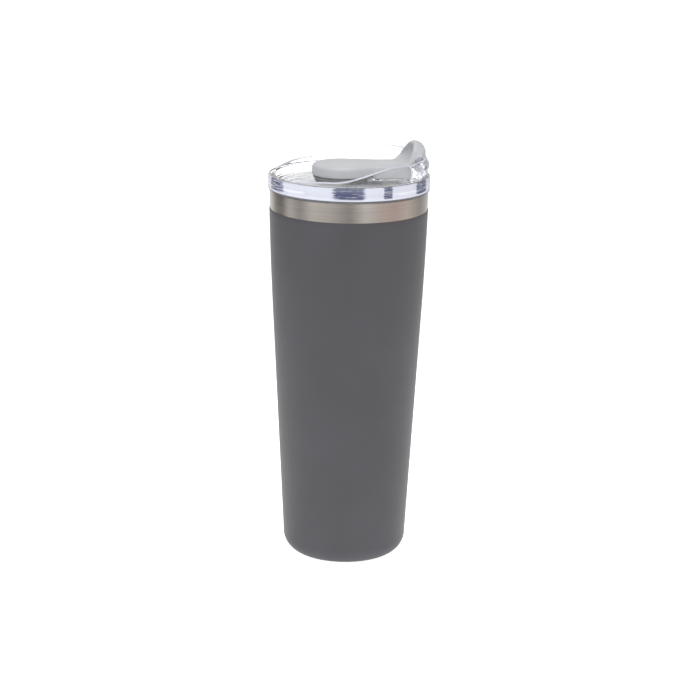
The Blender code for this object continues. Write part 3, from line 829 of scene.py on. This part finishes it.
# ---- the closure ----
def blend_min(a, b, size):
    """The smaller of two arrays, with a fillet of a size where they meet."""
    share = np.clip(0.5 + 0.5 * (b - a) / size, 0.0, 1.0)
    return b * (1 - share) + a * share - size * share * (1 - share)


def blend_max(a, b, size):
    """The larger of two arrays, with a rounding of a size where they meet."""
    return -blend_min(-a, -b, size)


def ease(share):
    """Eases from 0 to 1, for arrays."""
    share = np.clip(share, 0.0, 1.0)
    return share * share * (3 - 2 * share)


def plate_field(x, side, z):
    """The disc and the arm. A faint step runs round the top, and the arm is deeper than the disc."""
    from_disc = np.hypot(x - DISC_X, side)
    arm_half = ARM_HALF - ARM_NARROWING * ease((x - 16.0) / 10.0)
    arm = np.maximum(side - arm_half, 2.0 - x)
    plan = blend_min(from_disc - DISC_RADIUS, arm, 4.0)
    step = ease((plan + 3.0) / 0.5)
    dip = 0.35 * ease((x - 8.0) / 10.0)
    plate = blend_max(plan, z - (DISC_TOP - dip - 0.12 * step), 2.6)
    beyond_plug = ease((from_disc - PLUG_SEAT[1] - 0.3) / 0.8) * ease((x - 0.5) / 2.0)
    bottom = DISC_BOTTOM - (DISC_BOTTOM - ARM_BOTTOM) * beyond_plug
    plate = blend_max(plate, bottom - z, 1.2)
    return blend_max(plate, x - 30.0, 3.0)


def tab_field(x, side, z):
    """The upright tab: an arch inside a drum about the cup's axis, with a scoop in its inner face."""
    drum = np.hypot(x, side) - TAB_REACH
    rise = np.maximum(z - (TAB_TOP - TAB_HALF), 0.0)
    reach = np.hypot(side, rise)
    sloped = blend_max(x - 32.8 - 0.9 * (z - 203.0), 0.0, 0.8) * ease((z - 201.5) / 2.0)
    arch = reach - TAB_HALF + 1.1 * sloped
    hollow = blend_max(1.0 - (reach / SCOOP_HALF) ** 3, 0.0, 0.2)
    scoop = SCOOP_DEPTH * hollow * ease((z - DISC_TOP + 1.0) / 4.0)
    inner = 28.3 + TAB_LEAN * (z - 203.5) + scoop
    tab = blend_max(arch, drum, 6.0 - 4.0 * ease((208.5 - z) / 3.0))
    tab = blend_max(tab, inner - x, 1.6)
    return blend_max(tab, HINGE_Z - 0.5 - z, 1.0)


def closure_field(x, y, z):
    """Below zero inside the closure: a disc that runs into an arm, and a scooped tab over the pin."""
    side = np.abs(y)
    knuckle = np.hypot(x - HINGE_X, z - HINGE_Z) - KNUCKLE_RADIUS
    knuckle = blend_max(knuckle, side - TAB_HALF, 0.8)
    body = blend_min(plate_field(x, side, z), tab_field(x, side, z), 3.6)
    body = blend_min(body, knuckle, 2.0)
    boss = np.hypot(x - DISC_X, y) - BOSS_RADIUS
    boss = np.maximum(boss, np.maximum(DISC_BOTTOM - BOSS_HEIGHT - z, z - DISC_TOP + 3.0))
    body = np.minimum(body, boss)
    bore = PIN_BORE - np.hypot(x - HINGE_X, z - HINGE_Z)
    socket = np.minimum(VENT_SOCKET - np.hypot(x - VENT_X, y), SOCKET_TOP - z)
    return np.maximum(body, np.maximum(bore, socket))


def net_points(points, values):
    """For each cube that the surface crosses, the mean of the crossings on its edges. Gives the points,
    and each cube's number among them."""
    cells = tuple(n - 1 for n in values.shape)
    total = np.zeros((*cells, 3))
    count = np.zeros(cells)
    corner = [(slice(0, -1), slice(1, None))[bit] for bit in (0, 1)]
    for axis in range(3):
        for first in (0, 1):
            for second in (0, 1):
                bits = [first, second]
                bits.insert(axis, 0)
                here = tuple(corner[bit] for bit in bits)
                bits[axis] = 1
                there = tuple(corner[bit] for bit in bits)
                a, b = values[here], values[there]
                crosses = (a < 0) != (b < 0)
                share = np.where(crosses, a / np.where(crosses, a - b, 1.0), 0.0)
                crossing = points[here] + (points[there] - points[here]) * share[..., None]
                total += crossing * crosses[..., None]
                count += crosses
    active = count > 0
    number = np.full(cells, -1)
    number[active] = np.arange(active.sum())
    return total[active] / count[active][:, None], number


def net_quads(values, number):
    """A quad across each grid edge that the surface crosses, between the four cubes round the edge."""
    quads = []
    for axis in range(3):
        a = np.take(values, range(values.shape[axis] - 1), axis) < 0
        b = np.take(values, range(1, values.shape[axis]), axis) < 0
        for flip in (0, 1):
            found = np.argwhere((a & ~b) if flip == 0 else (b & ~a))
            u, v = [k for k in range(3) if k != axis]
            around = []
            for du, dv in ((0, 0), (-1, 0), (-1, -1), (0, -1)):
                place = found.copy()
                place[:, u] += du
                place[:, v] += dv
                around.append(number[tuple(place.T)])
            quad = np.stack(around, axis=1)
            quads.append(quad[:, ::-1] if (flip == 0) == (axis != 1) else quad)
    return np.concatenate(quads)


def surface_net(field, low, high, cell):
    """Points and quads of the surface where the field is zero, from a grid of cubes."""
    axes = [np.arange(a, b + cell, cell) for a, b in zip(low, high)]
    x, y, z = np.meshgrid(*axes, indexing="ij")
    values = field(x, y, z)
    points, number = net_points(np.stack((x, y, z), axis=-1), values)
    return points, net_quads(values, number)


def settle(points, field, rounds, limit):
    """Moves points onto the field's surface."""
    step = 0.02
    for _ in range(rounds):
        x, y, z = points.T
        value = field(x, y, z)
        slope = np.stack((
            field(x + step, y, z) - field(x - step, y, z),
            field(x, y + step, z) - field(x, y - step, z),
            field(x, y, z + step) - field(x, y, z - step),
        ), axis=1) / (2 * step)
        size = np.maximum((slope**2).sum(axis=1), 0.2)
        points = points - slope * np.clip(value / size, -limit, limit)[:, None]
    return points


def make_closure(material):
    cell = 0.36
    vertices, quads = surface_net(closure_field, *CLOSURE_BOX, cell)
    vertices = settle(vertices, closure_field, 3, 0.3)
    mesh = bpy.data.meshes.new("grey_closure")
    mesh.from_pydata((vertices * MM).tolist(), [], quads.tolist())
    bm = bmesh.new()
    bm.from_mesh(mesh)
    bpy.data.meshes.remove(mesh)
    obj = new_object("grey_closure", bm, material, 45)
    stand_in(obj, "closure", "flip_closure")


def make_closure_seals(material):
    nose, seat = FLOOR_TOP - 1.0, FLOOR_TOP - 0.05
    top, pocket = DISC_BOTTOM - 0.2, DISC_BOTTOM - BOSS_HEIGHT - 0.2
    plug = [(0, nose), (PLUG_NOSE - 0.6, nose), (PLUG_NOSE, nose + 0.6), (PLUG_NOSE, seat)]
    plug += [(PLUG_SEAT[0], seat), (PLUG_SEAT[1], top), (BOSS_RADIUS + 0.2, top)]
    plug += [(BOSS_RADIUS + 0.2, pocket), (0, pocket)]
    obj = revolve("closure_plug", round_corners(plug, 0.5), material, 160, x=DISC_X)
    stand_in(obj, "closure", "closure_seal")
    top = ARM_BOTTOM - 0.1
    vent = [(0, seat - 0.4), (1.3, seat - 0.4), (1.3, seat + 0.2), (2.6, seat + 0.4)]
    vent += [(2.6, top - 0.2), (1.2, top), (1.2, SOCKET_TOP - 0.4), (0, SOCKET_TOP - 0.4)]
    obj = revolve("vent_stopper", round_corners(vent, 0.25), material, 64, x=VENT_X)
    stand_in(obj, "closure", "vent_plug")


# ---- the studio's pieces ----
def make_camera():
    spin = Matrix.Rotation(CAMERA_TURN, 3, "Z")
    place = spin @ Vector((0, -CAMERA_DISTANCE, CAMERA_HEIGHT))
    level = cos(CAMERA_PITCH)
    ahead = Vector((sin(CAMERA_YAW) * level, cos(CAMERA_YAW) * level, -sin(CAMERA_PITCH)))
    right = Vector((cos(CAMERA_YAW), -sin(CAMERA_YAW), 0))
    up = right.cross(ahead)
    tilted_right = spin @ (right * cos(CAMERA_ROLL) + up * sin(CAMERA_ROLL))
    tilted_up = spin @ (up * cos(CAMERA_ROLL) - right * sin(CAMERA_ROLL))
    turn = Matrix((tilted_right, tilted_up, spin @ -ahead)).transposed()
    data = bpy.data.cameras.new("camera")
    data.lens = CAMERA_LENS
    data.sensor_width = 36.0
    data.clip_start, data.clip_end = 0.05, 50.0
    camera = bpy.data.objects.new("camera", data)
    bpy.context.scene.collection.objects.link(camera)
    camera.matrix_world = Matrix.Translation(place) @ turn.to_4x4()
    bpy.context.scene.camera = camera


def make_floor():
    """A pale floor that glows near the cup, and looks white through the clear lid. In mirror images it
    shows the sheets beside the cup, and the cards further off."""
    n = Nodes("studio_floor")
    n.paint(n.noise(n.position((60, 60, 60)), 1.0, 2.0), (0.90, 0.90, 0.90), (0.92, 0.92, 0.92))
    n.set(Roughness=0.9, Specular_IOR_Level=0.1, Emission_Color=(1, 1, 1, 1))
    place = n.add("ShaderNodeTexCoord").outputs["Object"]
    away = n.add("ShaderNodeVectorMath", operation="LENGTH")
    n.join(place, away.inputs[0])
    path = n.add("ShaderNodeLightPath").outputs
    near = n.math("SUBTRACT", 1.0, n.rise(away.outputs["Value"], *GLOW_FADE))
    near_glow = n.math("ADD", 0.5, n.math("MULTIPLY", path["Is Diffuse Ray"], 0.7))
    glow = n.math("ADD", 0.35, n.math("MULTIPLY", near, near_glow))
    n.join(n.largest(glow, path["Is Transmission Ray"]), n.shader.inputs["Emission Strength"])
    mirrored = n.add("ShaderNodeEmission")
    far = around_axis(n.tree, place, CARDS)[0]
    sheets = around_axis(n.tree, place, FLOOR_SHEETS)[0]
    beside = n.rise(away.outputs["Value"], *SHEET_FADE)
    n.join(pick(n.tree, beside, far, sheets), mirrored.inputs["Color"])
    mirror = n.product(path["Is Glossy Ray"], n.math("SUBTRACT", 1.0, path["Is Transmission Ray"]))
    surface = n.blend(mirror, n.shader.outputs["BSDF"], mirrored.outputs["Emission"])
    n.join(surface, n.output.inputs["Surface"])
    bm = bmesh.new()
    bmesh.ops.create_grid(bm, x_segments=4, y_segments=4, size=9.0)
    floor = new_object("studio_floor", bm, n.material)
    floor.location.z = -0.2 * MM


def area_light(name, azimuth, distance, height, size, power, mirrored=True):
    data = bpy.data.lights.new(name, "AREA")
    data.shape = "RECTANGLE"
    data.size, data.size_y = size
    data.energy = power
    light = bpy.data.objects.new(name, data)
    bpy.context.scene.collection.objects.link(light)
    turn = CAMERA_TURN - pi / 2 + radians(azimuth)
    light.location = (distance * cos(turn), distance * sin(turn), height)
    aim = Vector(LIGHT_TARGET) - light.location
    light.rotation_euler = aim.to_track_quat("-Z", "Y").to_euler()
    light.visible_glossy = mirrored
    light.visible_transmission = mirrored


def make_world():
    """A white tent. Mirror images show the cards, matt surfaces get the soft light, and the camera sees
    plain white, also through the clear lid."""
    world = bpy.data.worlds.new("tent")
    bpy.context.scene.world = world
    world.use_nodes = True
    tree = world.node_tree
    background = tree.nodes["Background"]
    direction = tree.nodes.new("ShaderNodeTexCoord").outputs["Generated"]
    cards, height = around_axis(tree, direction, CARDS)
    soft = around_axis(tree, direction, SOFT_LIGHT)[0]
    path = tree.nodes.new("ShaderNodeLightPath").outputs
    around = pick(tree, path["Is Diffuse Ray"], cards, soft)
    high = tree.nodes.new("ShaderNodeMapRange")
    high.interpolation_type = "SMOOTHSTEP"
    high.inputs["From Min"].default_value, high.inputs["From Max"].default_value = CARD_TOPS
    tree.links.new(height, high.inputs["Value"])
    seen = pick(tree, high.outputs["Result"], around, WHITE)
    for ray in ("Is Camera Ray", "Is Transmission Ray"):
        seen = pick(tree, path[ray], seen, WHITE)
    tree.links.new(seen, background.inputs["Color"])
    background.inputs["Strength"].default_value = 1.0


def make_studio():
    make_floor()
    make_world()
    area_light("overhead", 0, 0.1, 1.6, (1.2, 1.2), 7)
    area_light("front_fill", -12, 1.1, 0.7, (0.6, 0.8), 2.6, mirrored=False)
    make_camera()
    cycles = bpy.context.scene.cycles
    cycles.max_bounces = LIGHT_BOUNCES
    cycles.transmission_bounces = LIGHT_BOUNCES
    cycles.transparent_max_bounces = LIGHT_BOUNCES
    view = bpy.context.scene.view_settings
    view.view_transform = "Standard"
    view.look = "None"
    view.exposure = 0.0


def main():
    steel = brushed_steel_material()
    dark = silicone_material("dark_silicone", (0.25, 0.25, 0.26))
    make_coat(powder_coat_material())
    make_outer_wall(steel)
    make_inner_wall(brushed_steel_material("liner_steel", (0.70, 0.66, 0.61)))
    make_base_cover(worn_material("cap_steel", (0.62, 0.60, 0.57), 0.34))
    make_lid(clear_plastic_material())
    make_lid_seal(silicone_material("pale_silicone", (0.72, 0.73, 0.74), 0.5))
    make_pin(worn_material("pin_steel", (0.68, 0.67, 0.65), 0.24))
    make_closure(closure_material())
    make_closure_seals(dark)
    finish_hidden_nodes()
    make_studio()


main()
